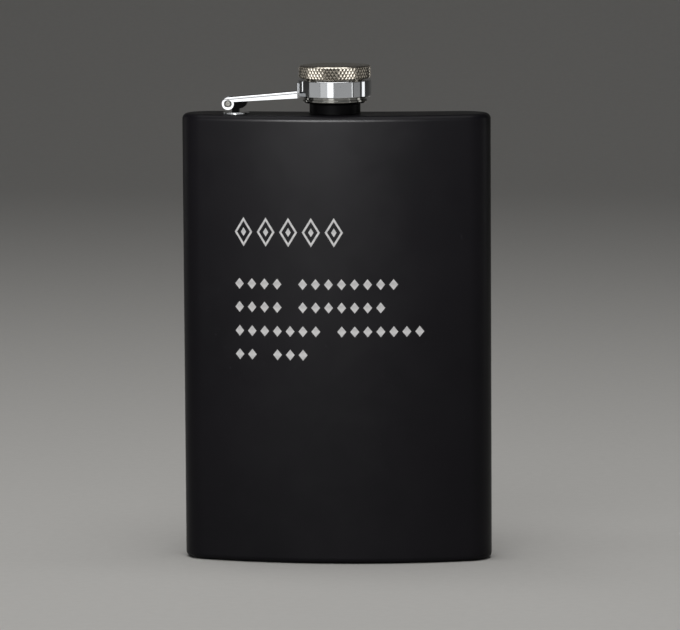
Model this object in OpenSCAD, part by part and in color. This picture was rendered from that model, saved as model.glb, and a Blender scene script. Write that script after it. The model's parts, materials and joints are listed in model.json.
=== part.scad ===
// Hip flask with a captive cap: sheet steel body curved to the hip, short neck,
// and a knurled cap that turns in a sleeve carried by a hinged arm.
// Frame, mm: origin at the middle of the base, X to the right seen from the
// crowned front, Y to the back, Z up.

/* [Body] */
// overall width across the rounded sides
body_w = 93; // [88.2:2.4:97.8]
// height from the base to the top plate
body_h = 135; // [110:0.5:150]
// outside radius of the rounded sides
end_r = 8.7; // [8.7:1.2:9.9]
// radius rolled on the top and bottom edges
rim_r = 1.75; // [1.25:0.25:2.25]
// thickness of the sheet
sheet_t = 0.5; // [0.4:0.1:0.8]
// straight skirt of each end plate, down to its weld with the wrap
skirt_h = 2; // [1:0.5:4]

/* [Neck] */
// neck axis, left or right of the body's middle
neck_x = 0; // [-1:0.5:1]
// neck axis, front or back of the body's middle
neck_y = -0.8; // [-0.9:0.1:0]
// outside radius of the plain collar
collar_r = 7.65; // [7.6:0.05:7.9]
// height of the collar above the top plate
collar_h = 3.2; // [3:0.05:3.5]
// outside radius of the threaded end
thread_r = 7.1; // [6.8:0.1:7.1]
// radius of the pouring bore
bore_r = 5.4; // [5:0.1:5.8]
// height of the mouth above the top plate
neck_h = 7.5; // [7.3:0.05:7.7]
// how far the neck reaches into the body, below the top plate
neck_in = 1.2; // [0.8:0.1:2]

/* [Cap] */
// outside radius of the knurled knob
knob_r = 10.8; // [10:0.1:10.9]
// height of the knob
knob_h = 4; // [3.8:0.1:6]
// radius of the hub that passes through the sleeve
hub_r = 6.1; // [5:0.1:6.1]
// outside radius of the sleeve
sleeve_r = 11; // [10.9:0.1:11.2]
// height of the sleeve
sleeve_h = 4.9; // [4.9:0.1:5.2]
// wall of the sleeve
sleeve_t = 0.7; // [0.5:0.1:0.8]
// outside radius of the threaded ferrule
ferrule_r = 9.2; // [8.8:0.1:9.3]
// radius of the ferrule's lower lip
lip_r = 9.65; // [9.5:0.05:9.8]
// inside radius of the ferrule, over the crests of its thread
ferrule_in_r = 7.5; // [7.5:0.05:7.6]
// thickness of the seal ring
seal_t = 1; // [0.8:0.1:1]

/* [Hinge] */
// hinge pin to the neck axis
arm_reach = 32; // [30:0.5:33]
// hinge pin above the top plate
pin_up = 3.1; // [2.9:0.1:3.6]
// radius of the hinge pin
pin_r = 0.8; // [0.6:0.1:0.9]
// width of the arm across its two sides
arm_w = 5.4; // [4.6:0.2:6]
// thickness of the arm's sheet
arm_t = 0.7; // [0.6:0.1:0.8]
// slope of the arm, rising towards the cap, degrees
arm_slope = 5; // [4:0.25:5.25]

/* [Show] */
// which piece to draw

/* [Hidden] */
$fn = 96;
arc_fn = 256; // for the two large arcs

// The outline is four arcs that meet in tangents. Each joint between two arcs lies on a line
// whose slope is a whole-number triangle (12, 35, 37) or (24, 143, 145), so that every centre
// and radius is a short exact number.
end_x = body_w / 2 - end_r;
end_y = end_x / 12;
front_y = 3 * end_x;
front_r = 37 * end_x / 12 + end_r;
back_y = 145 * end_x / 24;
back_r = 145 * end_x / 24 - end_r;
body_d = 2 * (end_y + end_r);
step_f = 0.5;
step_b = 0.125;
out_x = end_x + 30;
fx = end_x + 12 * step_f;
fy = end_y - 35 * step_f;
bx = end_x - 24 * step_b;
by = end_y + 143 * step_b;

gap = 0.05;
seam_lo = rim_r + skirt_h;
seam_hi = body_h - rim_r - skirt_h;
mouth_z = body_h + neck_h;
neck_low = body_h - sheet_t - neck_in;
flare_r = 0.35;
mouth_round = 0.3;

seal_z = mouth_z + gap;
ferrule_lo = body_h + collar_h + 0.2;
ferrule_ceiling = seal_z + seal_t;
ferrule_web = 0.75;
ferrule_top = ferrule_ceiling + ferrule_web;
lip_h = 1.05;
lip_bevel = 0.45;
web_t = 0.8;
web_lo = ferrule_top + 0.1;
sleeve_top = web_lo + web_t;
sleeve_lo = sleeve_top - sleeve_h;
sleeve_edge = 0.25;
hub_play = 0.3;
knob_lo = sleeve_top + 0.5;
boss_r = 8.5;
knob_edge = 0.45;
crown_h = 0.15;
crown_r = 9.6;
screw_r = 1.5;
screw_head_r = 2.8;
screw_head_t = 0.9;
screw_top = knob_lo + 2.6;
slot_w = 0.7;
slot_d = 0.45;
seal_hole_r = 3.2;
seal_r = ferrule_in_r - 0.1;

pin_x = neck_x - arm_reach;
pin_z = body_h + pin_up;
eye_r = 1.8;
boss_pin_r = 1.5;
pin_play = 0.06;
post_side_play = 0.4;
post_w = arm_w - 2 * arm_t - 2 * post_side_play;
base_off = 2.2;
base_r = 4;
base_t = 0.5;
base_edge = 0.2;
shoulder_r = 0.9;
inner_r = 0.4;
web_start = 1.4;
arm_top = 2;
arm_low_hinge = 0.45;
arm_low_cap = -0.25;
tab_t = 0.45;
tab_side = 0.3;
tab_lo = sleeve_lo - 0.7;
tab_hi = sleeve_top - 0.8;
sink_r = 1.2;
sink_d = 0.4;

black = [0.07, 0.07, 0.075];
chrome = [0.86, 0.87, 0.88];
nickel = [0.72, 0.68, 0.62];
steel = [0.6, 0.6, 0.6];
rubber = [0.16, 0.16, 0.16];

// ---- helpers ----

// everything to the outside of an end circle's two joint lines
module end_zone()
  polygon([[end_x, end_y], [fx, fy], [out_x, fy], [out_x, by], [bx, by]]);

// between the two joint lines of the crowned front
module front_zone() polygon([[0, front_y], [fx, fy], [-fx, fy]]);

// between the two joint lines of the hollow back
module back_zone()
  polygon([[0, back_y], [end_x + 24 * step_b, end_y - 143 * step_b],
           [-end_x - 24 * step_b, end_y - 143 * step_b]]);

// carries a section round the outline: its x is the depth in from the outside, its y is height
module around(h) {
  intersection() {
    translate([0, front_y, 0]) rotate_extrude($fn = arc_fn) translate([front_r, 0]) mirror([1, 0])
      children();
    translate([0, 0, -1]) linear_extrude(h + 2) front_zone();
  }
  intersection() {
    translate([0, back_y, 0]) rotate_extrude($fn = arc_fn) translate([back_r, 0]) children();
    translate([0, 0, -1]) linear_extrude(h + 2) back_zone();
  }
  for (side = [0, 1]) mirror([side, 0, 0]) intersection() {
    translate([end_x, end_y, 0]) rotate_extrude() translate([end_r, 0]) mirror([1, 0]) children();
    translate([0, 0, -1]) linear_extrude(h + 2) end_zone();
  }
}

// the outline set in by a given depth, as a flat sheet
module flat_sheet(inset, t) {
  linear_extrude(t) difference() {
    intersection() {
      translate([0, front_y]) circle(front_r - inset, $fn = arc_fn);
      polygon([[end_x, end_y], [fx, fy], [-fx, fy], [-end_x, end_y], [-bx, by], [bx, by]]);
    }
    translate([0, back_y]) circle(back_r + inset, $fn = arc_fn);
  }
  for (side = [0, 1]) mirror([side, 0, 0]) linear_extrude(t) intersection() {
    translate([end_x, end_y]) circle(end_r - inset);
    end_zone();
  }
}

// section of a rolled edge with its straight skirt
module rim_section() {
  intersection() {
    translate([rim_r, rim_r]) difference() {
      circle(rim_r);
      circle(rim_r - sheet_t);
    }
    translate([-1, -1]) square(rim_r + 1);
  }
  translate([0, rim_r]) square([sheet_t, skirt_h]);
}

// a stamped end plate, open side up
module pan() {
  around(seam_lo) rim_section();
  flat_sheet(rim_r, sheet_t);
}

module at_neck(z = 0) translate([neck_x, neck_y, z]) children();

// the hinge's side view, x towards the cap and y up, drawn out to a width along the pin
module at_pin(w) translate([pin_x, neck_y, pin_z]) rotate([90, 0, 0])
  translate([0, 0, -w / 2]) linear_extrude(w) children();

// ---- pieces ----

module body_wrap() color(black) translate([0, 0, seam_lo]) around(seam_hi - seam_lo)
  square([sheet_t, seam_hi - seam_lo]);

module bottom_plate() color(black) pan();

module top_plate() color(black) difference() {
  translate([0, 0, body_h]) mirror([0, 0, 1]) pan();
  at_neck(body_h - 2) cylinder(r = collar_r, h = 4);
}

module neck() color(black) at_neck() rotate_extrude() polygon([
  [bore_r, neck_low], [collar_r, neck_low], [collar_r, body_h], [collar_r + flare_r, body_h],
  [collar_r, body_h + flare_r], [collar_r, body_h + collar_h - 0.2],
  [collar_r - 0.2, body_h + collar_h], [thread_r - 0.4, body_h + collar_h],
  [thread_r - 0.4, body_h + collar_h + 0.3], [thread_r, body_h + collar_h + 0.6],
  [thread_r, mouth_z - 0.5], [thread_r - 0.4, mouth_z], [bore_r + mouth_round, mouth_z],
  [bore_r, mouth_z - mouth_round]]);

module hinge_base() color(chrome) translate([pin_x + base_off, neck_y, body_h]) {
  cylinder(r = base_r, h = base_t - base_edge);
  translate([0, 0, base_t - base_edge]) cylinder(r1 = base_r, r2 = base_r - base_edge, h = base_edge);
}

module hinge_post() color(black) difference() {
  union() {
    at_pin(post_w) circle(boss_pin_r);
    at_pin(post_w) polygon([[0.2, 0.9], [5.2, 0.9], [5.6, 0.3], [5.2, -0.6], [4.4, -1.2], [3.1, -1.5],
                            [3.1, base_t - pin_up], [1.1, base_t - pin_up], [1.1, -1], [0.2, -1]]);
  }
  at_pin(post_w + 2) circle(pin_r + pin_play);
}

module hinge_pin() color(chrome) translate([pin_x, neck_y, pin_z]) rotate([90, 0, 0])
  rotate_extrude() polygon([[0, -arm_w / 2], [pin_r - 0.25, -arm_w / 2], [pin_r, -arm_w / 2 + 0.25],
                            [pin_r, arm_w / 2 - 0.25], [pin_r - 0.25, arm_w / 2], [0, arm_w / 2]]);

// a rectangle with two rounded top corners, its top edge on the x axis
module round_top(w, h, r) {
  translate([-w / 2, -h]) square([w, h - r]);
  translate([-w / 2 + r, -r]) square([w - 2 * r, r]);
  for (side = [0, 1]) mirror([side, 0]) translate([w / 2 - r, -r]) intersection() {
    circle(r);
    square(r);
  }
}

// the pressed channel with its two eyes, the pin at the origin and the cap along x
module arm_channel() {
  length = arm_reach - sleeve_r + 2;
  mask_w = arm_w + 2;
  in_w = arm_w - 2 * arm_t;
  difference() {
    intersection() {
      translate([-2 * eye_r, 0, 0]) rotate([90, 0, 90]) linear_extrude(length + 2 * eye_r)
        translate([0, arm_top]) difference() {
          round_top(arm_w, arm_top + eye_r + 1, shoulder_r);
          translate([0, -arm_t]) round_top(in_w, arm_top + eye_r + 2, inner_r);
        }
      rotate([90, 0, 0]) translate([0, 0, -mask_w / 2]) linear_extrude(mask_w) union() {
        circle(eye_r);
        polygon([[0, arm_low_hinge], [-0.8, 1.5], [0, arm_top + 0.05], [length + 2, arm_top + 1],
                 [length + 2, arm_low_cap]]);
      }
    }
    translate([-2 * eye_r - 1, -in_w / 2, -2 * eye_r]) cube([2 * eye_r + 1 + web_start, in_w, 4 * eye_r]);
  }
}

module arm_tab() at_neck(tab_lo) intersection() {
  difference() {
    cylinder(r = sleeve_r + tab_t, h = tab_hi - tab_lo);
    translate([0, 0, -1]) cylinder(r = sleeve_r, h = tab_hi - tab_lo + 2);
  }
  translate([-20, -arm_w / 2 - tab_side, -1]) cube([20, arm_w + 2 * tab_side, tab_hi - tab_lo + 2]);
}

module arm() color(chrome) difference() {
  union() {
    difference() {
      translate([pin_x, neck_y, pin_z]) rotate([0, -arm_slope, 0]) arm_channel();
      at_neck(tab_lo - 3) cylinder(r = sleeve_r + tab_t / 2, h = 12);
    }
    arm_tab();
  }
  translate([pin_x, neck_y, pin_z]) rotate([90, 0, 0]) {
    cylinder(r = pin_r, h = arm_w + 2, center = true);
    for (side = [0, 1]) mirror([0, 0, side]) translate([0, 0, arm_w / 2 - sink_d])
      cylinder(r1 = pin_r, r2 = sink_r + (sink_r - pin_r) / 4, h = sink_d * 1.25);
  }
}

module sleeve() color(chrome) at_neck() rotate_extrude() polygon([
  [sleeve_r - sleeve_t, sleeve_lo], [sleeve_r - sleeve_edge, sleeve_lo],
  [sleeve_r, sleeve_lo + sleeve_edge], [sleeve_r, sleeve_top - sleeve_edge],
  [sleeve_r - sleeve_edge, sleeve_top], [hub_r + hub_play, sleeve_top],
  [hub_r + hub_play, web_lo], [sleeve_r - sleeve_t, web_lo]]);

module knob() color(nickel) at_neck() rotate_extrude() polygon([
  [0, screw_top], [screw_r, screw_top], [screw_r, ferrule_top], [hub_r, ferrule_top],
  [hub_r, sleeve_top + gap], [boss_r, sleeve_top + gap], [boss_r, knob_lo],
  [knob_r - knob_edge, knob_lo], [knob_r, knob_lo + knob_edge],
  [knob_r, knob_lo + knob_h - crown_h - knob_edge],
  [knob_r - knob_edge, knob_lo + knob_h - crown_h], [crown_r, knob_lo + knob_h - crown_h],
  [crown_r - 1.2, knob_lo + knob_h], [0, knob_lo + knob_h]]);

module ferrule() color(steel) at_neck() rotate_extrude() polygon([
  [ferrule_in_r, ferrule_lo], [lip_r - lip_bevel, ferrule_lo], [lip_r, ferrule_lo + lip_bevel],
  [lip_r, ferrule_lo + lip_h], [ferrule_r, ferrule_lo + lip_h], [ferrule_r, ferrule_top],
  [screw_r, ferrule_top], [screw_r, ferrule_ceiling], [ferrule_in_r, ferrule_ceiling]]);

module seal() color(rubber) at_neck(seal_z) difference() {
  cylinder(r = seal_r, h = seal_t);
  translate([0, 0, -1]) cylinder(r = seal_hole_r, h = seal_t + 2);
}

module cap_screw() color(steel) at_neck() difference() {
  rotate_extrude() polygon([
    [0, ferrule_ceiling - screw_head_t], [screw_head_r - 0.3, ferrule_ceiling - screw_head_t],
    [screw_head_r, ferrule_ceiling - screw_head_t + 0.3], [screw_head_r, ferrule_ceiling],
    [screw_r, ferrule_ceiling], [screw_r, screw_top], [0, screw_top]]);
  translate([-screw_head_r - 1, -slot_w / 2, ferrule_ceiling - screw_head_t - 1])
    cube([2 * screw_head_r + 2, slot_w, slot_d + 1]);
}

body_wrap();
top_plate();
bottom_plate();
neck();
hinge_base();
hinge_post();
hinge_pin();
arm();
sleeve();
knob();
ferrule();
seal();
cap_screw();
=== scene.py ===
# Hip flask with a captive cap: meshes, finishes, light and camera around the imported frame.
import json
import math

import bmesh
import bpy
from mathutils import Matrix, Vector


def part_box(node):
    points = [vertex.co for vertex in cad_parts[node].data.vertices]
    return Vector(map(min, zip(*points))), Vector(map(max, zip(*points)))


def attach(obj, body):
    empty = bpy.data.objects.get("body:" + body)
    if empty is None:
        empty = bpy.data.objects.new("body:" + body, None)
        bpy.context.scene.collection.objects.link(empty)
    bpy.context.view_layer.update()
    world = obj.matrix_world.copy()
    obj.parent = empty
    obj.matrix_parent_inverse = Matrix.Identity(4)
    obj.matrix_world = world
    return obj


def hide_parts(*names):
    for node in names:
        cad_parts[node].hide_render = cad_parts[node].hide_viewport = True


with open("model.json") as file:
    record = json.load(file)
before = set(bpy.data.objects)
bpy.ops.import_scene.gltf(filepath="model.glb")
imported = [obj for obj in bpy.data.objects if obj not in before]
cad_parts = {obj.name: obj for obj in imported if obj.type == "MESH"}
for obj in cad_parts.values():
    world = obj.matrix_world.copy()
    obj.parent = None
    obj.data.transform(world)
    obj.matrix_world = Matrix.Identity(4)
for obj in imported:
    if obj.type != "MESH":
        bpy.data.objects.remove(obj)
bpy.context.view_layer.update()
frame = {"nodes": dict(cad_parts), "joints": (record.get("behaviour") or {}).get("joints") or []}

mm = 0.001
weld = 1e-5  # points nearer than this, in millimetres, count as one
seamTurn = 0.37  # share of a step that some rings are turned by, so that no cut runs along a seam
joints = {joint["name"]: joint for joint in frame["joints"]}
capAxis = [value / mm for value in joints["cap_turn"]["pos_m"]]
pinAt = [value / mm for value in joints["arm_swing"]["pos_m"]]


def nodeBox(node):
    low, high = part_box(node)
    return low / mm, high / mm


print("frame loaded:", len(frame["nodes"]), "nodes")


# Meshes are made in millimetres; finishPiece turns them to metres.

def linkObject(name, data):
    obj = bpy.data.objects.new(name, data)
    bpy.context.scene.collection.objects.link(obj)
    return obj


def makeObject(name, verts, faces):
    mesh = bpy.data.meshes.new(name)
    mesh.from_pydata([tuple(vert) for vert in verts], [], faces)
    bm = bmesh.new()
    bm.from_mesh(mesh)
    bmesh.ops.remove_doubles(bm, verts=bm.verts, dist=weld)
    bmesh.ops.recalc_face_normals(bm, faces=bm.faces)
    bm.to_mesh(mesh)
    bm.free()
    return linkObject(name, mesh)


def bakeModifiers(obj):
    bpy.context.view_layer.update()
    graph = bpy.context.evaluated_depsgraph_get()
    result = bpy.data.meshes.new_from_object(obj.evaluated_get(graph))
    obj.modifiers.clear()
    old = obj.data
    obj.data = result
    bpy.data.meshes.remove(old)


def combine(obj, tool, operation):
    modifier = obj.modifiers.new("combine", "BOOLEAN")
    modifier.object, modifier.operation, modifier.solver = tool, operation, "EXACT"
    bakeModifiers(obj)
    bpy.data.objects.remove(tool)


def cleanCuts(obj, near, bend):
    # joins the tiny edges that a run of cuts leaves, so that a bevel finds room
    bm = bmesh.new()
    bm.from_mesh(obj.data)
    bmesh.ops.remove_doubles(bm, verts=bm.verts, dist=near)
    bmesh.ops.dissolve_degenerate(bm, edges=bm.edges, dist=near)
    bmesh.ops.dissolve_limit(bm, angle_limit=math.radians(bend), verts=bm.verts, edges=bm.edges)
    bm.to_mesh(obj.data)
    bm.free()


def softenEdges(obj, width, segments, angle=32):
    modifier = obj.modifiers.new("edges", "BEVEL")
    modifier.width, modifier.segments = width, segments
    modifier.limit_method, modifier.angle_limit = "ANGLE", math.radians(angle)
    bakeModifiers(obj)


def finishPiece(obj, body, node, material, sharpAngle=35):
    mesh = obj.data
    mesh.transform(Matrix.Scale(mm, 4))
    mesh.polygons.foreach_set("use_smooth", [True] * len(mesh.polygons))
    mesh.set_sharp_from_angle(angle=math.radians(sharpAngle))
    weighted = obj.modifiers.new("weighted", "WEIGHTED_NORMAL")  # keeps flat walls flat beside small radii
    weighted.keep_sharp = True
    bakeModifiers(obj)
    mesh = obj.data
    mesh.name = obj.name
    mesh.materials.clear()
    mesh.materials.append(material)
    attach(obj, body)
    if node:
        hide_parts(node)
    print("made", obj.name, len(mesh.polygons), "faces")


def circlePoints(radius, segments, turn=0):
    return [(radius * math.cos(2 * math.pi * (k + turn) / segments),
             radius * math.sin(2 * math.pi * (k + turn) / segments)) for k in range(segments)]


def arcPoints(radius, start, end, steps):
    # start and end are in degrees, and both are on the arc
    angles = [math.radians(start + (end - start) * k / steps) for k in range(steps + 1)]
    return [(radius * math.cos(angle), radius * math.sin(angle)) for angle in angles]


def roundCorners(corners, steps=5):
    # corners are (x, y, radius) round a closed outline
    out = []
    for index, (x, y, radius) in enumerate(corners):
        point = Vector((x, y))
        if radius <= 0:
            out.append((x, y))
            continue
        before = (Vector(corners[index - 1][:2]) - point).normalized()
        after = (Vector(corners[(index + 1) % len(corners)][:2]) - point).normalized()
        half = before.angle(after) / 2
        centre = point + (before + after).normalized() * radius / math.sin(half)
        start = point + before * radius / math.tan(half) - centre
        end = point + after * radius / math.tan(half) - centre
        turn = math.atan2(start.x * end.y - start.y * end.x, start.dot(end))
        for step in range(steps + 1):
            angle = turn * step / steps
            out.append((centre.x + start.x * math.cos(angle) - start.y * math.sin(angle),
                        centre.y + start.x * math.sin(angle) + start.y * math.cos(angle)))
    return out


def bridge(first, second):
    # the four-sided faces between two rings of as many points
    count = len(first)
    return [[first[k], first[(k + 1) % count], second[(k + 1) % count], second[k]] for k in range(count)]


def lathe(name, profile, segments, centre, reshape=None):
    # profile is a closed run of (radius, height); radius 0 becomes one point on the axis
    verts, rings, faces = [], [], []
    for radius, height in profile:
        if radius < weld:
            rings.append([len(verts)] * segments)
            verts.append((centre[0], centre[1], height))
            continue
        rings.append(list(range(len(verts), len(verts) + segments)))
        for step in range(segments):
            angle = 2 * math.pi * step / segments
            r = reshape(angle, radius, height) if reshape else radius
            verts.append((centre[0] + r * math.cos(angle), centre[1] + r * math.sin(angle), height))
    for index, ring in enumerate(rings):
        for quad in bridge(ring, rings[(index + 1) % len(rings)]):
            face = [v for k, v in enumerate(quad) if v != quad[k - 1]]
            if len(set(face)) > 2:
                faces.append(face)
    return makeObject(name, verts, faces)


def prism(name, outline, low, high, place):
    # outline points and a depth go through place(x, y, depth) to a position
    count = len(outline)
    verts = [place(x, y, low) for x, y in outline] + [place(x, y, high) for x, y in outline]
    ends = [range(count), range(count, 2 * count)]
    return makeObject(name, verts, [list(end) for end in ends] + bridge(*ends))


def upright(x, y, depth):
    return (x, y, depth)


def toLinear(hexColour):
    channels = [int(hexColour[k:k + 2], 16) / 255 for k in (1, 3, 5)]
    linear = [c / 12.92 if c <= 0.04045 else ((c + 0.055) / 1.055) ** 2.4 for c in channels]
    return (*linear, 1)


def addNode(tree, kind, settings=None, values=None, links=None):
    node = tree.nodes.new(kind)
    for key, value in (settings or {}).items():
        setattr(node, key, value)
    for key, value in (values or {}).items():
        node.inputs[key].default_value = value
    for key, source in (links or {}).items():
        tree.links.new(source, node.inputs[key])
    return node


def startMaterial(name, values):
    material = bpy.data.materials.new(name)
    material.use_nodes = True
    tree = material.node_tree
    tree.nodes.clear()
    shader = addNode(tree, "ShaderNodeBsdfPrincipled", values=values)
    addNode(tree, "ShaderNodeOutputMaterial", links={"Surface": shader.outputs[0]})
    place = addNode(tree, "ShaderNodeTexCoord").outputs["Object"]
    return material, tree, shader, place


def feedShader(tree, shader, sources):
    for socket, source in sources.items():
        tree.links.new(source, shader.inputs[socket])


def perMetre(size):
    return 1000 / size  # texture scale for a feature of this many millimetres


def addNoise(tree, place, size, detail, **more):
    values = {"Scale": perMetre(size), "Detail": detail, **more}
    return addNode(tree, "ShaderNodeTexNoise", values=values, links={"Vector": place}).outputs["Fac"]


def addRings(tree, place, pitch, **more):
    # level bands one above the other, a pitch apart; the node runs 20 radians to the unit
    values = {"Scale": perMetre(pitch) * 2 * math.pi / 20, **more}
    return addNode(tree, "ShaderNodeTexWave", {"bands_direction": "Z"}, values,
                   {"Vector": place}).outputs["Fac"]


def addRange(tree, source, fromLow, fromHigh, toLow, toHigh):
    values = {"From Min": fromLow, "From Max": fromHigh, "To Min": toLow, "To Max": toHigh}
    return addNode(tree, "ShaderNodeMapRange", values=values, links={"Value": source}).outputs[0]


def mixColours(tree, first, second, share):
    # first is a hex colour or another node's output; the node has its colours on 6 and 7, the mix on 2
    values, links = {7: toLinear(second)}, {0: share}
    if isinstance(first, str):
        values[6] = toLinear(first)
    else:
        links[6] = first
    return addNode(tree, "ShaderNodeMix", {"data_type": "RGBA"}, values, links).outputs[2]


def addBump(tree, height, strength, depth):
    values = {"Strength": strength, "Distance": depth * mm}
    return addNode(tree, "ShaderNodeBump", values=values, links={"Height": height}).outputs[0]


# Satin black polyester powder coat, sprayed and baked on sheet steel: a dark, very slightly
# violet neutral with a broad soft sheen, faint orange peel and the greasy patches of handling.
coatLook = {
    "colour": "#040405", "paleColour": "#070608", "speckColour": "#161518",
    "roughness": (0.34, 0.40), "peel": 0.55, "peelHeight": 0.006,  # real peel is 0.3 mm, drawn coarser
    "cloud": 34, "handling": 13, "speck": 0.9,
}


def makeBlackCoat():
    look = coatLook
    material, tree, shader, place = startMaterial("satinBlackPowderCoat", {
        "IOR": 1.5, "Specular IOR Level": 0.09})
    cloud = addNoise(tree, place, look["cloud"], 3)
    tint = mixColours(tree, look["colour"], look["paleColour"], cloud)
    speckMask = addRange(tree, addNoise(tree, place, look["speck"], 1), 0.73, 0.80, 0, 0.5)
    handling = addNoise(tree, place, look["handling"], 4, Roughness=0.6, Distortion=0.4)
    peel = addNoise(tree, place, look["peel"], 2, Roughness=0.45)
    feedShader(tree, shader, {
        "Base Color": mixColours(tree, tint, look["speckColour"], speckMask),
        "Roughness": addRange(tree, handling, 0.3, 0.7, *look["roughness"]),
        "Normal": addBump(tree, peel, 0.35, look["peelHeight"])})
    return material


# Decorative chromium plate on buffed steel: a cold mirror, softened by hairline polishing
# marks, water spots and a slow ripple where the wheel pressed.
chromeLook = {
    "colour": "#E2E4E6", "spotColour": "#C3C6C9", "spots": 1.4, "roughness": (0.035, 0.13), "smear": 4,
    "hairline": 0.22, "hairlineStretch": (0.12, 0.12, 1), "hairlineShare": 0.03,
    "ripple": 5, "rippleHeight": 0.012,
}


def makeChrome():
    look = chromeLook
    material, tree, shader, place = startMaterial("buffedChromePlate", {"Metallic": 1})
    smear = addNoise(tree, place, look["smear"], 5, Roughness=0.65)
    spots = addNode(tree, "ShaderNodeTexVoronoi", values={
        "Scale": perMetre(look["spots"])}, links={"Vector": place})
    spotMask = addRange(tree, spots.outputs["Distance"], 0.10, 0.16, 0.55, 0)
    stretch = addNode(tree, "ShaderNodeMapping", values={
        "Scale": look["hairlineStretch"]}, links={"Vector": place})
    hairline = addNoise(tree, stretch.outputs[0], look["hairline"], 2)
    ripple = addNoise(tree, place, look["ripple"], 1)
    height = addNode(tree, "ShaderNodeMath", {"operation": "MULTIPLY_ADD"}, {1: look["hairlineShare"]},
                     {0: hairline, 2: ripple})
    feedShader(tree, shader, {
        "Base Color": mixColours(tree, look["colour"], look["spotColour"], spotMask),
        "Roughness": addRange(tree, smear, 0.42, 0.78, *look["roughness"]),
        "Normal": addBump(tree, height.outputs[0], 0.5, look["rippleHeight"])})
    return material


# Bright nickel over a cut knurl: warmer than the chrome, a little duller on the crests where
# fingers rub it, and darker down in the grooves: brown tarnish and dust with painted groove shade.
nickelLook = {
    "colour": "#D3CCBF", "tarnishAndGrooveShade": "#6B645A", "roughness": (0.15, 0.24), "cloud": 2.2,
    "grain": 0.28, "grainHeight": 0.006,
}


def makeNickel():
    look = nickelLook
    material, tree, shader, place = startMaterial("warmNickelPlate", {"Metallic": 1})
    depth = addNode(tree, "ShaderNodeAttribute", {"attribute_name": "grooveDepth"})
    cloud = addNoise(tree, place, look["cloud"], 4)
    # groove depth times a cloud: brown tarnish together with painted shade, darker down in the grooves
    tarnishAndShade = addNode(tree, "ShaderNodeMath", {"operation": "MULTIPLY"}, links={
        0: depth.outputs["Fac"], 1: cloud})
    tarnishAndShadeMask = addRange(tree, tarnishAndShade.outputs[0], 0.3, 0.62, 0, 0.8)
    grain = addNoise(tree, place, look["grain"], 3)
    feedShader(tree, shader, {
        "Base Color": mixColours(tree, look["colour"], look["tarnishAndGrooveShade"], tarnishAndShadeMask),
        "Roughness": addRange(tree, cloud, 0.3, 0.7, *look["roughness"]),
        "Normal": addBump(tree, grain, 0.15, look["grainHeight"])})
    return material


# Stainless steel turned on a lathe: grey and semi-bright, with the rings that the tool leaves.
turnedLook = {
    "colour": "#A5A49F", "darkColour": "#807F7A", "roughness": (0.08, 0.18), "cloud": 1.8,
    "ringPitch": 1.885, "ringHeight": 0.006,  # real rings are 0.1 mm apart, drawn coarser
}


def makeTurnedSteel():
    look = turnedLook
    material, tree, shader, place = startMaterial("turnedStainlessSteel", {"Metallic": 1})
    rings = addRings(tree, place, look["ringPitch"], Distortion=1.5, Detail=2)
    cloud = addNoise(tree, place, look["cloud"], 3)
    feedShader(tree, shader, {
        "Base Color": mixColours(tree, look["colour"], look["darkColour"], cloud),
        "Roughness": addRange(tree, cloud, 0, 1, *look["roughness"]),
        "Normal": addBump(tree, rings, 0.2, look["ringHeight"])})
    return material


# Moulded nitrile rubber: near black, dry and matte, with a dusty bloom.
rubberLook = {
    "colour": "#1D1D1E", "bloomColour": "#3A3A3B", "bloom": 2.5, "grain": 0.35, "grainHeight": 0.02,
}


def makeRubber():
    look = rubberLook
    material, tree, shader, place = startMaterial("mouldedNitrileRubber", {"IOR": 1.52, "Roughness": 0.72})
    bloom = addNoise(tree, place, look["bloom"], 4)
    grain = addNoise(tree, place, look["grain"], 2)
    feedShader(tree, shader, {
        "Base Color": mixColours(tree, look["colour"], look["bloomColour"], bloom),
        "Normal": addBump(tree, grain, 0.4, look["grainHeight"])})
    return material


# Steel laid bare by a marking laser: pale grey and matte, crossed by the beam's hatch lines.
etchLook = {
    "colour": "#DEDDDD", "darkColour": "#BFBEBF", "mottle": 0.8,
    "hatch": 2.262, "hatchHeight": 0.01,  # real hatch is 0.05 mm, drawn coarser
}


def makeEtch():
    look = etchLook
    material, tree, shader, place = startMaterial("laserBaredSteel", {"Metallic": 0.25, "Roughness": 0.6})
    hatch = addRings(tree, place, look["hatch"], Distortion=0.3)
    mottle = addNoise(tree, place, look["mottle"], 3)
    share = addNode(tree, "ShaderNodeMath", {"operation": "MULTIPLY"}, links={0: hatch, 1: mottle})
    feedShader(tree, shader, {
        "Base Color": mixColours(tree, look["colour"], look["darkColour"], share.outputs[0]),
        "Normal": addBump(tree, hatch, 0.3, look["hatchHeight"])})
    return material


blackCoat = makeBlackCoat()
chrome = makeChrome()
nickel = makeNickel()
turnedSteel = makeTurnedSteel()
rubber = makeRubber()
etch = makeEtch()
print("finishes made")


bodyShape = {"endRadius": 8.7, "rimRadius": 1.75, "sheet": 0.5, "frontSteps": 96, "backSteps": 80,
             "endSteps": 40, "rimSteps": 8, "heightSteps": 12, "holdRing": 0.06, "holeRing": 0.015}

topLow, topHigh = nodeBox("top_plate")
bottomLow, bottomHigh = nodeBox("bottom_plate")
plateTop = topHigh.z
halfWide = round(nodeBox("body_wrap")[1].x, 1)
endX = halfWide - bodyShape["endRadius"]
endY = endX / 12  # the four arcs meet on lines of slope 12:35 and 24:143
frontCentre, frontRadius = 3 * endX, 37 * endX / 12 + bodyShape["endRadius"]
backCentre, backRadius = 145 * endX / 24, 145 * endX / 24 - bodyShape["endRadius"]
frontHalf, backHalf = math.atan2(12, 35), math.atan2(24, 143)


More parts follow.
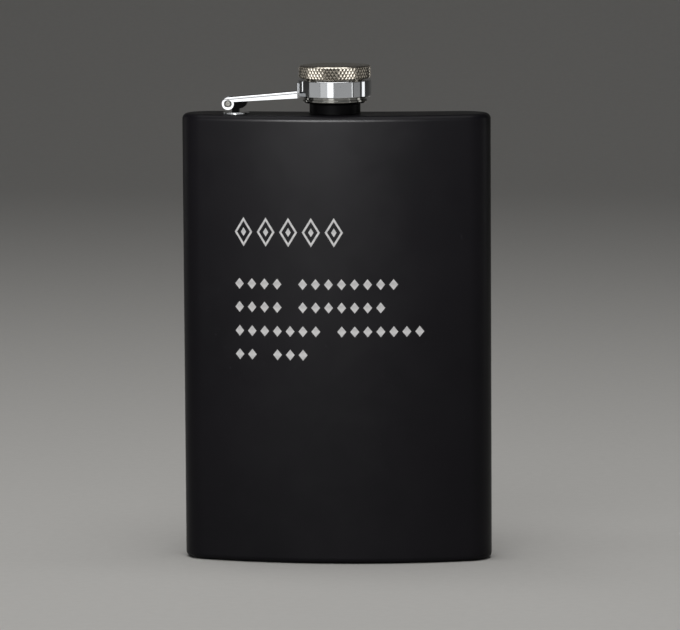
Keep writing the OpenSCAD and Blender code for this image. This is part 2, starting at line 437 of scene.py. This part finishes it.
def wallSection(inset):
    shape = bodyShape
    front, back = -math.pi / 2, math.pi / 2
    endRadius = shape["endRadius"] - inset
    arcs = [  # centre x and y, radius, first angle, last angle, steps
        (0, frontCentre, frontRadius - inset, front - frontHalf, front + frontHalf, shape["frontSteps"]),
        (endX, endY, endRadius, front + frontHalf, back + backHalf, shape["endSteps"]),
        (0, backCentre, backRadius + inset, front + backHalf, front - backHalf, shape["backSteps"]),
        (-endX, endY, endRadius, back - backHalf, back + math.pi - frontHalf, shape["endSteps"]),
    ]
    points = []
    for x, y, radius, start, end, steps in arcs:
        for step in range(steps):
            angle = start + (end - start) * step / steps
            points.append((x + radius * math.cos(angle), y + radius * math.sin(angle)))
    return points


def shellRings(levels):
    # levels are (inset, height) round a closed section
    verts, faces = [], []
    for inset, height in levels:
        verts += [(x, y, height) for x, y in wallSection(inset)]
    count = len(verts) // len(levels)
    for level in range(len(levels)):
        here, there = level * count, (level + 1) % len(levels) * count
        faces += bridge(range(here, here + count), range(there, there + count))
    return verts, faces


def makeWrap():
    steps, bottom, top = bodyShape["heightSteps"], bottomHigh.z, topLow.z
    heights = [bottom + (top - bottom) * step / steps for step in range(steps + 1)]
    levels = [(0, z) for z in heights] + [(bodyShape["sheet"], z) for z in reversed(heights)]
    return makeObject("bodyWrap", *shellRings(levels))


def plateProfile(face, seam):
    # (inset, height) up the outside and up the inside of a plate's skirt and rolled edge
    rim, sheet, steps = bodyShape["rimRadius"], bodyShape["sheet"], bodyShape["rimSteps"]
    up = 1 if face > seam else -1
    hold = rim + bodyShape["holdRing"]
    outside = [(0, seam), (0, face - up * hold)]
    inside = [(sheet, seam), (sheet, face - up * hold)]
    for step in range(steps + 1):
        angle = math.pi / 2 * step / steps
        for side, radius in ((outside, rim), (inside, rim - sheet)):
            side.append((rim - radius * math.cos(angle), face - up * (rim - radius * math.sin(angle))))
    outside.append((hold, face))
    inside.append((hold, face - up * sheet))
    return outside, inside


def addHoleRings(bm, hole, height):
    # the ring just outside the hole keeps the flat's shading flat
    x, y, radius, segments = hole
    rings = [[bm.verts.new((x + dx, y + dy, height)) for dx, dy in circlePoints(r, segments, seamTurn)]
             for r in (radius + bodyShape["holeRing"], radius)]
    for quad in bridge(*rings):
        bm.faces.new(quad)
    return rings


def ringEdges(bm, ring):
    return [bm.edges.get([ring[k], ring[(k + 1) % len(ring)]]) for k in range(len(ring))]


def makePlate(name, face, seam, hole=None):
    # face is the height of the plate's outside, seam the height of its skirt's free edge
    outside, inside = plateProfile(face, seam)
    levels = outside + inside[::-1]
    verts, faces = shellRings(levels)
    count, last = len(verts) // len(levels), len(outside) - 1
    faces = faces[:last * count] + faces[(last + 1) * count:]  # leave the middle open, for the flat
    bm = bmesh.new()
    made = [bm.verts.new(vert) for vert in verts]
    for quad in faces:
        bm.faces.new([made[k] for k in quad])
    borders = [ringEdges(bm, made[level * count:(level + 1) * count]) for level in (last, last + 1)]
    if hole:
        outer, inner = [addHoleRings(bm, hole, level[1]) for level in (outside[-1], inside[-1])]
        for quad in bridge(outer[1], inner[1]):
            bm.faces.new(quad)
        borders = [border + ringEdges(bm, rings[0]) for border, rings in zip(borders, (outer, inner))]
    for border in borders:
        bmesh.ops.triangle_fill(bm, edges=border, use_beauty=True, use_dissolve=False)
    bmesh.ops.recalc_face_normals(bm, faces=bm.faces)
    mesh = bpy.data.meshes.new(name)
    bm.to_mesh(mesh)
    bm.free()
    return linkObject(name, mesh)


neckShape = {"collar": 7.65, "collarHeight": 3.2, "collarRound": 0.25, "flare": 0.35, "flareRound": 0.3,
             "thread": 7.1, "root": 6.62, "rootRound": 0.08, "pitch": 1.5, "lead": 0.2, "runOut": 0.55,
             "threadFade": 0.45, "threadEnd": 0.35, "bore": 5.4, "boreRound": 0.3,
             "mouthBevel": (0.12, 0.3), "mouthRound": 0.1, "segments": 128, "zStep": 0.1}
neckLow, neckHigh = nodeBox("neck")

finishPiece(makeWrap(), "flask", "body_wrap", blackCoat)
neckHole = (capAxis[0], capAxis[1], neckShape["collar"], neckShape["segments"])
topPlate = makePlate("topPlate", plateTop, topLow.z, neckHole)
bottomPlate = makePlate("bottomPlate", bottomLow.z, bottomHigh.z)
finishPiece(topPlate, "flask", "top_plate", blackCoat)
finishPiece(bottomPlate, "flask", "bottom_plate", blackCoat)


def threadWave(angle, height, pitch):
    # 0 in the root and 1 on the crest of a right-hand thread with rounded flats
    phase = (height / pitch - angle / (2 * math.pi)) % 1
    slope = (0.5 - abs(phase - 0.5)) * 2
    return min(1, max(0, (slope - 0.3) / 0.4))


def fade(value, low, high, width):
    return min(1, max(0, (value - low) / width), max(0, (high - value) / width))


def makeNeck():
    shape = neckShape
    collar, root, flare, bore = shape["collar"], shape["root"], shape["flare"], shape["bore"]
    shoulder, mouth = plateTop + shape["collarHeight"], neckHigh.z
    tall = mouth - shape["runOut"] - shoulder
    steps = int(tall / shape["zStep"])
    bevelIn, bevelDown = shape["mouthBevel"]
    corners = [(bore, neckLow.z, 0), (collar, neckLow.z, 0), (collar, plateTop, 0),
               (collar + flare, plateTop, 0), (collar, plateTop + flare, shape["flareRound"]),
               (collar, shoulder, shape["collarRound"]), (root, shoulder, shape["rootRound"])]
    corners += [(shape["thread"], shoulder + shape["lead"] + tall * k / steps, 0) for k in range(steps + 1)]
    corners += [(root, mouth - bevelDown, 0), (root - bevelIn, mouth, shape["mouthRound"]),
                (bore, mouth, shape["boreRound"])]

    def reshape(angle, radius, height):
        if radius != shape["thread"]:
            return radius
        lift = threadWave(angle, height, shape["pitch"])
        lift *= fade(height, shoulder + shape["lead"], mouth - shape["threadEnd"], shape["threadFade"])
        return root + (radius - root) * lift

    return lathe("threadedNeck", roundCorners(corners), shape["segments"], capAxis, reshape)


finishPiece(makeNeck(), "flask", "neck", blackCoat, 50)


footShape = {"edge": 0.12, "segments": 72}


def makeFoot():
    low, high = nodeBox("hinge_base")
    radius = (high.x - low.x) / 2
    centre = ((low.x + high.x) / 2, (low.y + high.y) / 2)
    corners = [(0, low.z, 0), (radius, low.z, 0), (radius, high.z, footShape["edge"]), (0, high.z, 0)]
    return lathe("hingeFoot", roundCorners(corners), footShape["segments"], centre)


finishPiece(makeFoot(), "flask", "hinge_base", chrome)


# The post's side view is drawn from the pin: x towards the cap, y up.
postShape = {"boss": 1.5, "hole": 0.86, "edge": 0.16, "start": 0.2, "web": (-1, 0.9), "leg": (1.1, 3.1),
             "hip": -1.5, "hipRound": 0.4,
             "nose": [(5.2, 0.9, 0.3), (5.6, 0.3, 0.3), (5.2, -0.6, 0.5), (4.4, -1.2, 0.5)]}


def onPin(x, y, depth):
    return (pinAt[0] + x, pinAt[1] + depth, pinAt[2] + y)


def makePost():
    shape = postShape
    low, high = nodeBox("hinge_post")
    half = (high.y - low.y) / 2
    foot = low.z - pinAt[2]
    start, (webLow, webHigh), (left, right) = shape["start"], shape["web"], shape["leg"]
    side = [(start, webHigh, 0), *shape["nose"], (right, shape["hip"], shape["hipRound"]), (right, foot, 0),
            (left, foot, 0), (left, webLow, 0), (start, webLow, 0)]
    post = prism("hingePost", roundCorners(side, 4), -half, half, onPin)
    combine(post, prism("boss", circlePoints(shape["boss"], 48), -half, half, onPin), "UNION")
    combine(post, prism("hole", circlePoints(shape["hole"], 32), -half - 1, half + 1, onPin), "DIFFERENCE")
    softenEdges(post, shape["edge"], 3)
    return post


finishPiece(makePost(), "flask", "hinge_post", blackCoat)


pinShape = {"radius": 0.8, "dome": 0.2, "dimple": 0.3, "dimpleDepth": 0.14, "dimpleFlare": 0.06,
            "dimpleRounds": (0.05, 0.04), "segments": 40}


def layOnPin(obj):
    # turns what was made round the upright axis onto the hinge's axis
    obj.data.transform(Matrix.Translation(pinAt) @ Matrix.Rotation(math.pi / 2, 4, "X"))
    return obj


def makePin():
    shape = pinShape
    low, high = nodeBox("hinge_pin")
    half = (high.y - low.y) / 2
    floor, (inRound, outRound) = half - shape["dimpleDepth"], shape["dimpleRounds"]
    end = [(0, floor, 0), (shape["dimple"], floor, inRound),
           (shape["dimple"] + shape["dimpleFlare"], half, outRound), (shape["radius"], half, shape["dome"])]
    corners = [(radius, -height, turn) for radius, height, turn in end] + end[::-1]
    return layOnPin(lathe("hingePin", roundCorners(corners), shape["segments"], (0, 0)))


finishPiece(makePin(), "arm", "hinge_pin", turnedSteel)


# The arm's side view is drawn from the pin, along the slope: x towards the cap, z up.
armShape = {"width": 5.4, "sheet": 0.7, "slope": 5.0, "top": 2.0, "shoulder": 0.9, "inner": 0.4,
            "eye": 1.8, "eyeFrom": 104.5, "eyeTo": 330, "lowHinge": 0.45, "lowCap": -0.25, "webStart": 1.4,
            "pinHole": 0.8, "sinkRadius": 1.2, "sinkDepth": 0.4,
            "tab": 0.45, "tabSide": 0.3, "tabLow": -0.7, "tabHigh": -0.8, "tabRound": 0.19,
            "edge": 0.12, "near": 0.012, "bend": 0.3}
sleeveLow, sleeveHigh = nodeBox("sleeve")
sleeveRadius = (sleeveHigh.x - sleeveLow.x) / 2


def ringSector(name, inner, outer, halfSpan, low, high, segments=24):
    # part of a ring on the hinge's side of the cap, cut to a width
    points = []
    for radius, order in ((outer, 1), (inner, -1)):
        span = math.asin(halfSpan / radius)
        points += [(capAxis[0] - radius * math.cos(order * span * (2 * k / segments - 1)),
                    capAxis[1] + radius * math.sin(order * span * (2 * k / segments - 1)))
                   for k in range(segments + 1)]
    return prism(name, points, low, high, upright)


def makeArm():
    shape = armShape
    sheet, half, top, eye = shape["sheet"], shape["width"] / 2, shape["top"], shape["eye"]
    inner = half - sheet
    length = capAxis[0] - pinAt[0] - sleeveRadius + 2
    tilt = Matrix.Translation(pinAt) @ Matrix.Rotation(-math.radians(shape["slope"]), 4, "Y")

    def along(y, z, x):
        return tilt @ Vector((x, y, z))

    def across(x, z, y):
        return tilt @ Vector((x, y, z))

    # a blank with legs 3 mm below the pin, which its side view then trims
    outer = roundCorners([(-half, -3, 0), (-half, top, shape["shoulder"]),
                          (half, top, shape["shoulder"]), (half, -3, 0)], 10)
    arm = prism("hingedArm", outer, -4, length, along)
    low = math.degrees(math.asin(shape["lowHinge"] / eye))
    side = arcPoints(eye, shape["eyeFrom"], shape["eyeTo"], 40)
    side += arcPoints(eye, shape["eyeTo"] - 360, low, 8)[1:]
    side += [(length + 2, shape["lowCap"]), (length + 2, top + 1), (0, top + 0.05)]
    combine(arm, prism("side", side, -half - 1, half + 1, across), "INTERSECT")

    # the channel's hollow, and its open end in front of the post
    hollow = roundCorners([(-inner, -4, 0), (-inner, top - sheet, shape["inner"]),
                           (inner, top - sheet, shape["inner"]), (inner, -4, 0)], 6)
    combine(arm, prism("hollow", hollow, -6, length + 3, along), "DIFFERENCE")
    box = [(-5, -5), (shape["webStart"], -5), (shape["webStart"], 5), (-5, 5)]
    combine(arm, prism("front", box, -inner, inner, across), "DIFFERENCE")

    # the end is cut round the cap, and the tab goes over the cut
    drum = [(capAxis[0] + x, capAxis[1] + y) for x, y in circlePoints(sleeveRadius + shape["tab"] / 2, 180)]
    combine(arm, prism("drum", drum, sleeveLow.z - 4, sleeveHigh.z + 4, upright), "DIFFERENCE")
    tab = ringSector("tab", sleeveRadius, sleeveRadius + shape["tab"], half + shape["tabSide"],
                     sleeveLow.z + shape["tabLow"], sleeveHigh.z + shape["tabHigh"])
    softenEdges(tab, shape["tabRound"], 4, 50)
    combine(arm, tab, "UNION")

    drill = [(0, -half - 0.5), (shape["sinkRadius"] + 0.5, -half - 0.5), (shape["sinkRadius"], -half),
             (shape["pinHole"], -half + shape["sinkDepth"])]
    drill += [(radius, -height) for radius, height in reversed(drill)]
    combine(arm, layOnPin(lathe("bit", drill, 48, (0, 0))), "DIFFERENCE")
    cleanCuts(arm, shape["near"], shape["bend"])
    softenEdges(arm, shape["edge"], 2, 40)
    return arm


finishPiece(makeArm(), "arm", "arm", chrome, 45)


sleeveShape = {"wall": 0.7, "web": 0.8, "hubHole": 6.4, "edge": 0.28, "holeEdge": 0.12, "mouthEdge": 0.2,
               "inside": 0.3, "segments": 160}


def makeSleeve():
    shape = sleeveShape
    low, high = sleeveLow.z, sleeveHigh.z
    bore, hole, under = sleeveRadius - shape["wall"], shape["hubHole"], high - shape["web"]
    corners = [(bore, low, shape["mouthEdge"]), (sleeveRadius, low, shape["edge"]),
               (sleeveRadius, high, shape["edge"]), (hole, high, shape["holeEdge"]),
               (hole, under, shape["holeEdge"]), (bore, under, shape["inside"])]
    return lathe("capSleeve", roundCorners(corners), shape["segments"], capAxis)


finishPiece(makeSleeve(), "arm", "sleeve", chrome)


knobShape = {"teeth": 62, "lean": 32, "depth": 0.235, "flat": 0.04, "edge": 0.45, "hub": 6.1, "boss": 8.5,
             "gap": 0.05, "bandGap": 0.5, "crown": 0.15, "crownEdge": 9.6, "crownRun": 1.2, "crownFlat": 5.5,
             "screw": 1.5, "screwDepth": 3.5, "waste": (9.4, 12, 0.6),
             "smoothDepth": 0.15,  # the groove depth given to the smooth faces, their share of the grooves' tarnish and painted shade
             "segments": 264}
knobLow, knobHigh = nodeBox("knob")
knobRadius = (knobHigh.x - knobLow.x) / 2
ferruleLow, ferruleHigh = nodeBox("ferrule")


def makeKnurl(low, high):
    # a drum of pyramids between two families of V grooves that lean left and right
    shape = knobShape
    around = 2 * shape["teeth"]
    tall = 4 * math.pi * knobRadius / around / math.tan(math.radians(shape["lean"]))
    rows = 2 * math.ceil((high - low) / tall) + 2
    start = (low + high) / 2 - rows * tall / 4

    def point(row, column):
        # grooves cross where row + column is even, and crests stand where it is odd
        crest = (row + column) % 2 == 1 and 0 < row < rows
        radius = knobRadius + shape["flat"] if crest else knobRadius - shape["depth"]
        angle = 2 * math.pi * (column + seamTurn) / around
        return (capAxis[0] + radius * math.cos(angle), capAxis[1] + radius * math.sin(angle),
                start + row * tall / 2)

    def number(row, column):
        return row * around + column % around

    verts = [point(row, column) for row in range(rows + 1) for column in range(around)]
    faces = []
    for row in range(rows + 1):
        for column in range((row + 1) % 2, around, 2):
            here, left, right = number(row, column), number(row, column - 1), number(row, column + 1)
            if row < rows:
                up = number(row + 1, column)
                faces += [[here, right, up], [here, up, left]]
            if row > 0:
                down = number(row - 1, column)
                faces += [[here, left, down], [here, down, right]]
    faces += [[number(row, column) for column in range(around)] for row in (0, rows)]
    return makeObject("knurl", verts, faces)


def makeKnob():
    shape = knobShape
    edge, crownEdge = shape["edge"], shape["crownEdge"]
    under, bottom = sleeveHigh.z + shape["gap"], ferruleHigh.z
    bandLow, bandHigh = sleeveHigh.z + shape["bandGap"], knobHigh.z - shape["crown"]
    corners = [(0, bottom + shape["screwDepth"], 0), (shape["screw"], bottom + shape["screwDepth"], 0),
               (shape["screw"], bottom, 0), (shape["hub"], bottom, 0.1), (shape["hub"], under, 0),
               (shape["boss"], under, 0.08), (shape["boss"], bandLow, 0), (knobRadius - edge, bandLow, 0.1),
               (knobRadius, bandLow + edge, 0.15), (knobRadius, bandHigh - edge, 0.15),
               (knobRadius - edge, bandHigh, 0.1), (crownEdge, bandHigh, 0)]
    profile = roundCorners(corners, 3)
    profile += [(crownEdge - shape["crownRun"] * t, bandHigh + shape["crown"] * math.sin(t * math.pi / 2))
                for t in (0.2, 0.4, 0.6, 0.8, 1.0)]
    profile += [(shape["crownFlat"], knobHigh.z), (0, knobHigh.z)]
    knob = lathe("knurledKnob", profile, shape["segments"], capAxis)

    # what the knurl leaves of a ring round the band is cut away from the knob
    near, far, past = shape["waste"]
    ring = [(near, bandLow - past), (far, bandLow - past), (far, bandHigh + past), (near, bandHigh + past)]
    waste = lathe("waste", ring, 96, capAxis)
    combine(waste, makeKnurl(bandLow, bandHigh), "DIFFERENCE")
    combine(knob, waste, "DIFFERENCE")
    # groove depth at each point, which the nickel turns into tarnish and painted groove shade
    depths = []
    for vert in knob.data.vertices:
        radius = math.hypot(vert.co.x - capAxis[0], vert.co.y - capAxis[1])
        inBand = bandLow - 0.01 < vert.co.z < bandHigh + 0.01 and radius > crownEdge + 0.3
        depths.append(min(1, max(0, (knobRadius - radius) / shape["depth"])) if inBand else shape["smoothDepth"])
    knob.data.attributes.new("grooveDepth", "FLOAT", "POINT").data.foreach_set("value", depths)
    return knob


finishPiece(makeKnob(), "cap", "knob", nickel, 30)


ferruleShape = {"outer": 9.2, "lip": 9.65, "lipHeight": 1.05, "lipBevel": 0.45, "inner": 7.5, "root": 7.95,
                "ceiling": 0.75, "relief": 1.15, "lead": 0.35, "threadFade": 0.4, "pitch": 1.5, "screw": 1.5,
                "segments": 128, "zStep": 0.1}


def makeFerrule():
    shape = ferruleShape
    inner, lip, outer, screw = shape["inner"], shape["lip"], shape["outer"], shape["screw"]
    low, high = ferruleLow.z, ferruleHigh.z
    ceiling, bevel, step = high - shape["ceiling"], shape["lipBevel"], low + shape["lipHeight"]
    threadLow, threadTop = low + shape["lead"], ceiling - shape["relief"]
    steps = int((threadTop - threadLow) / shape["zStep"])
    corners = [(inner, low, 0.12), (lip - bevel, low, 0.15), (lip, low + bevel, 0.15), (lip, step, 0.12),
               (outer, step, 0.05), (outer, high, 0.15), (screw, high, 0), (screw, ceiling, 0),
               (inner, ceiling, 0)]
    corners += [(inner, threadTop - (threadTop - threadLow) * k / steps, 0) for k in range(steps + 1)]

    def reshape(angle, radius, height):
        if radius != inner:
            return radius
        drop = 1 - threadWave(angle, height, shape["pitch"])
        drop *= fade(height, threadLow, threadTop, shape["threadFade"])
        return inner + (shape["root"] - inner) * drop

    return lathe("threadedFerrule", roundCorners(corners), shape["segments"], capAxis, reshape)


finishPiece(makeFerrule(), "cap", "ferrule", turnedSteel, 50)


sealShape = {"hole": 3.2, "edge": 0.2, "backEdge": 0.08, "dish": 0.12, "dishRun": (-0.9, -0.4, 0.9, 1.3),
             "segments": 96}


def makeSeal():
    shape = sealShape
    low, high = nodeBox("seal")
    radius, hole, floor = (high.x - low.x) / 2, shape["hole"], low.z + shape["dish"]
    first, second, third, last = [(hole + radius) / 2 + along for along in shape["dishRun"]]
    corners = [(hole, low.z, shape["edge"]), (first, low.z, 0.3), (second, floor, 0.2), (third, floor, 0.2),
               (last, low.z, 0.3), (radius, low.z, shape["edge"]), (radius, high.z, shape["backEdge"]),
               (hole, high.z, shape["backEdge"])]
    return lathe("sealRing", roundCorners(corners, 4), shape["segments"], capAxis)


finishPiece(makeSeal(), "cap", "seal", rubber)


screwShape = {"head": 2.8, "headHeight": 0.9, "headRound": 0.35, "shank": 1.5, "tip": 0.2, "neckRound": 0.08,
              "slotWidth": 0.7, "slotDepth": 0.45, "segments": 72}


def makeScrew():
    shape = screwShape
    low, high = nodeBox("cap_screw")
    head, shank, under = shape["head"], shape["shank"], low.z + shape["headHeight"]
    corners = [(0, low.z, 0), (head, low.z, shape["headRound"]), (head, under, shape["neckRound"]),
               (shank, under, 0), (shank, high.z, shape["tip"]), (0, high.z, 0)]
    screw = lathe("capScrew", roundCorners(corners), shape["segments"], capAxis)
    half = shape["slotWidth"] / 2
    slot = [(capAxis[0] + x, capAxis[1] + y) for x, y in ((-4, -half), (4, -half), (4, half), (-4, half))]
    combine(screw, prism("slot", slot, low.z - 1, low.z + shape["slotDepth"], upright), "DIFFERENCE")
    return screw


finishPiece(makeScrew(), "cap", "cap_screw", turnedSteel)


ornament = {
    "left": -30.0, "proud": 0.02, "sunk": 0.03, "line": 0.62,
    "slant": 1.17,  # a lozenge's line measures this much more across than square to itself
    "headRow": {"height": 100.2, "tall": 8.8, "wide": 5.5, "step": 6.9, "count": 5, "core": 0.3},
    "rows": [  # height of the row's middle and how many small lozenges stand in each group
        {"height": 84.6, "groups": [4, 8]},
        {"height": 77.6, "groups": [4, 7]},
        {"height": 70.4, "groups": [7, 7]},
        {"height": 63.3, "groups": [2, 3]},
    ],
    "small": {"tall": 3.3, "wide": 2.7, "step": 3.9, "space": 3.9},
}


def onFront(u, height, lift):
    # u runs along the crowned front from its middle
    angle = u / frontRadius
    radius = frontRadius + lift
    return (radius * math.sin(angle), frontCentre - radius * math.cos(angle), height)


def lozenge(x, z, wide, tall):
    return [(x - wide / 2, z), (x, z - tall / 2), (x + wide / 2, z), (x, z + tall / 2)]


def makeOrnament():
    verts, faces = [], []

    def addLoop(loop, lift):
        start = len(verts)
        verts.extend(onFront(x, z, lift) for x, z in loop)
        return list(range(start, len(verts)))

    def addSlab(outer, inner=None):
        # a thin closed slab of one lozenge, or of a lozenge ring
        loops = [outer, inner] if inner else [outer]
        top, bottom = [[addLoop(loop, lift) for loop in loops]
                       for lift in (ornament["proud"], -ornament["sunk"])]
        faces.extend(quad for upper, lower in zip(top, bottom) for quad in bridge(upper, lower))
        faces.extend(bridge(*top) + bridge(*bottom) if inner else top + bottom)

    head = ornament["headRow"]
    wide, tall = head["wide"], head["tall"]
    inside = wide - 2 * ornament["line"] * ornament["slant"]
    for index in range(head["count"]):
        x = ornament["left"] + wide / 2 + index * head["step"]
        outer, inner, core = [lozenge(x, head["height"], wide * share, tall * share)
                              for share in (1, inside / wide, head["core"])]
        addSlab(outer, inner)
        addSlab(core)
    small = ornament["small"]
    for row in ornament["rows"]:
        x = ornament["left"] + small["wide"] / 2
        for group in row["groups"]:
            for index in range(group):
                addSlab(lozenge(x, row["height"], small["wide"], small["tall"]))
                x += small["step"]
            x += small["space"]
    return makeObject("etchedOrnament", verts, faces)


finishPiece(makeOrnament(), "flask", None, etch)


studio = {
    "floorColour": "#D9D7D3", "fibreColour": "#D2D0CC", "fibre": 3, "floorSize": 24.0,
    "sweepStart": 1.2, "sweepRadius": 1.0, "sweepSteps": 24, "wallTop": 3.2,
    "worldColour": "#A8AAAC", "worldStrength": 0.08,
    "lamps": [  # name, azimuth from the front, distance, height, width, tall, aimed at, glow
        ("keySoftbox", -9, 0.36, 0.262, 0.18, 0.09, 0.12, 96),
        ("capSoftbox", -9, 0.473, 0.34, 0.5, 0.28, 0.14, 2.4),
        ("frontStrip", -9, 1.0, 0.16, 0.33, 0.32, 0.14, 1.5),
        ("overhead", -20, 0.10, 1.0, 1.0, 0.7, 0.12, 2.4),
        ("topSoftbox", -8, 0.75, 0.85, 0.6, 0.36, 0.14, 1.5),
        ("leftCard", -62.5, 1.1, 0.22, 0.82, 0.44, 0.12, 0.36),
        ("leftWindow", -30, 1.1, 0.22, 0.46, 0.44, 0.12, 0.6),
        ("rightCard", 30, 1.2, 0.22, 1.33, 0.44, 0.12, 0.32),
        ("rightHairline", 60.5, 1.0, 0.22, 0.05, 0.44, 0.12, 1.2),
        ("rightFarCard", 78, 1.1, 0.22, 0.5, 0.44, 0.12, 0.2),
        ("rightStrip", 106, 1.0, 0.22, 0.24, 0.44, 0.12, 1.2),
        ("leftStrip", -118, 1.0, 0.22, 0.10, 0.44, 0.12, 1.4),
        ("backSoftbox", 172, 0.6, 0.34, 0.22, 0.18, 0.11, 26),
    ],
    "flagged": {  # lamps that are flagged off everything but these pieces
        "keySoftbox": ["bodyWrap", "topPlate", "bottomPlate"],
        "backSoftbox": ["bodyWrap"],
        "capSoftbox": ["knurledKnob", "threadedFerrule", "capScrew", "hingePin", "threadedNeck",
                       "etchedOrnament"],
    },
}


def makeFloor():
    material, tree, shader, place = startMaterial("paleStudioPaper", {"Roughness": 0.75})
    fibre = addNoise(tree, place, studio["fibre"], 3)
    feedShader(tree, shader, {
        "Base Color": mixColours(tree, studio["floorColour"], studio["fibreColour"], fibre)})
    half, start, radius = studio["floorSize"] / 2, studio["sweepStart"], studio["sweepRadius"]
    sweep = arcPoints(radius, -90, 0, studio["sweepSteps"])
    run = [(-half, 0), *((start + y, radius + z) for y, z in sweep), (start + radius, studio["wallTop"])]
    verts = [(x, y, z) for y, z in run for x in (-half, half)]
    faces = [[2 * k, 2 * k + 1, 2 * k + 3, 2 * k + 2] for k in range(len(run) - 1)]
    mesh = bpy.data.meshes.new("studioFloor")
    mesh.from_pydata(verts, [], faces)
    mesh.polygons.foreach_set("use_smooth", [True] * len(mesh.polygons))
    mesh.materials.append(material)
    linkObject("studioFloor", mesh)


def makeLight():
    world = bpy.data.worlds.new("studioWorld")
    bpy.context.scene.world = world
    world.use_nodes = True
    background = world.node_tree.nodes["Background"]
    background.inputs["Color"].default_value = toLinear(studio["worldColour"])
    background.inputs["Strength"].default_value = studio["worldStrength"]
    for name, azimuth, distance, height, width, tall, aimHeight, glow in studio["lamps"]:
        angle = math.radians(azimuth)
        place = Vector((distance * math.sin(angle), -distance * math.cos(angle), height))
        lamp = bpy.data.lights.new(name, "AREA")
        lamp.shape, lamp.size, lamp.size_y = "RECTANGLE", width, tall
        lamp.energy = glow * math.pi * width * tall
        holder = linkObject(name, lamp)
        holder.location = place
        holder.rotation_euler = (Vector((0, 0, aimHeight)) - place).to_track_quat("-Z", "Y").to_euler()
        holder.visible_camera = False
        if name in studio["flagged"]:
            lit = bpy.data.collections.new(name + "Lights")
            for piece in studio["flagged"][name]:
                lit.objects.link(bpy.data.objects[piece])
            holder.light_linking.receiver_collection = lit


cameraSetup = {"distance": 1.5, "azimuth": 4.82, "elevation": 6.68, "roll": -0.35,
               "aim": (0.00106, 0.0, 0.07412), "sensor": 36, "lens": 263.5, "clip": (0.05, 30)}


def makeCamera():
    setup = cameraSetup
    camera = bpy.data.cameras.new("camera")
    camera.sensor_width, camera.lens = setup["sensor"], setup["lens"]
    camera.clip_start, camera.clip_end = setup["clip"]
    holder = linkObject("camera", camera)
    azimuth, elevation = math.radians(setup["azimuth"]), math.radians(setup["elevation"])
    back = Vector((math.sin(azimuth) * math.cos(elevation), -math.cos(azimuth) * math.cos(elevation),
                   math.sin(elevation)))
    holder.location = Vector(setup["aim"]) + back * setup["distance"]
    turn = (-back).to_track_quat("-Z", "Y").to_matrix().to_4x4()
    roll = Matrix.Rotation(math.radians(setup["roll"]), 4, "Z")
    holder.rotation_euler = (turn @ roll).to_euler()
    bpy.context.scene.camera = holder
    bpy.context.scene.view_settings.view_transform = "Standard"


makeFloor()
makeLight()
makeCamera()
print("studio ready")
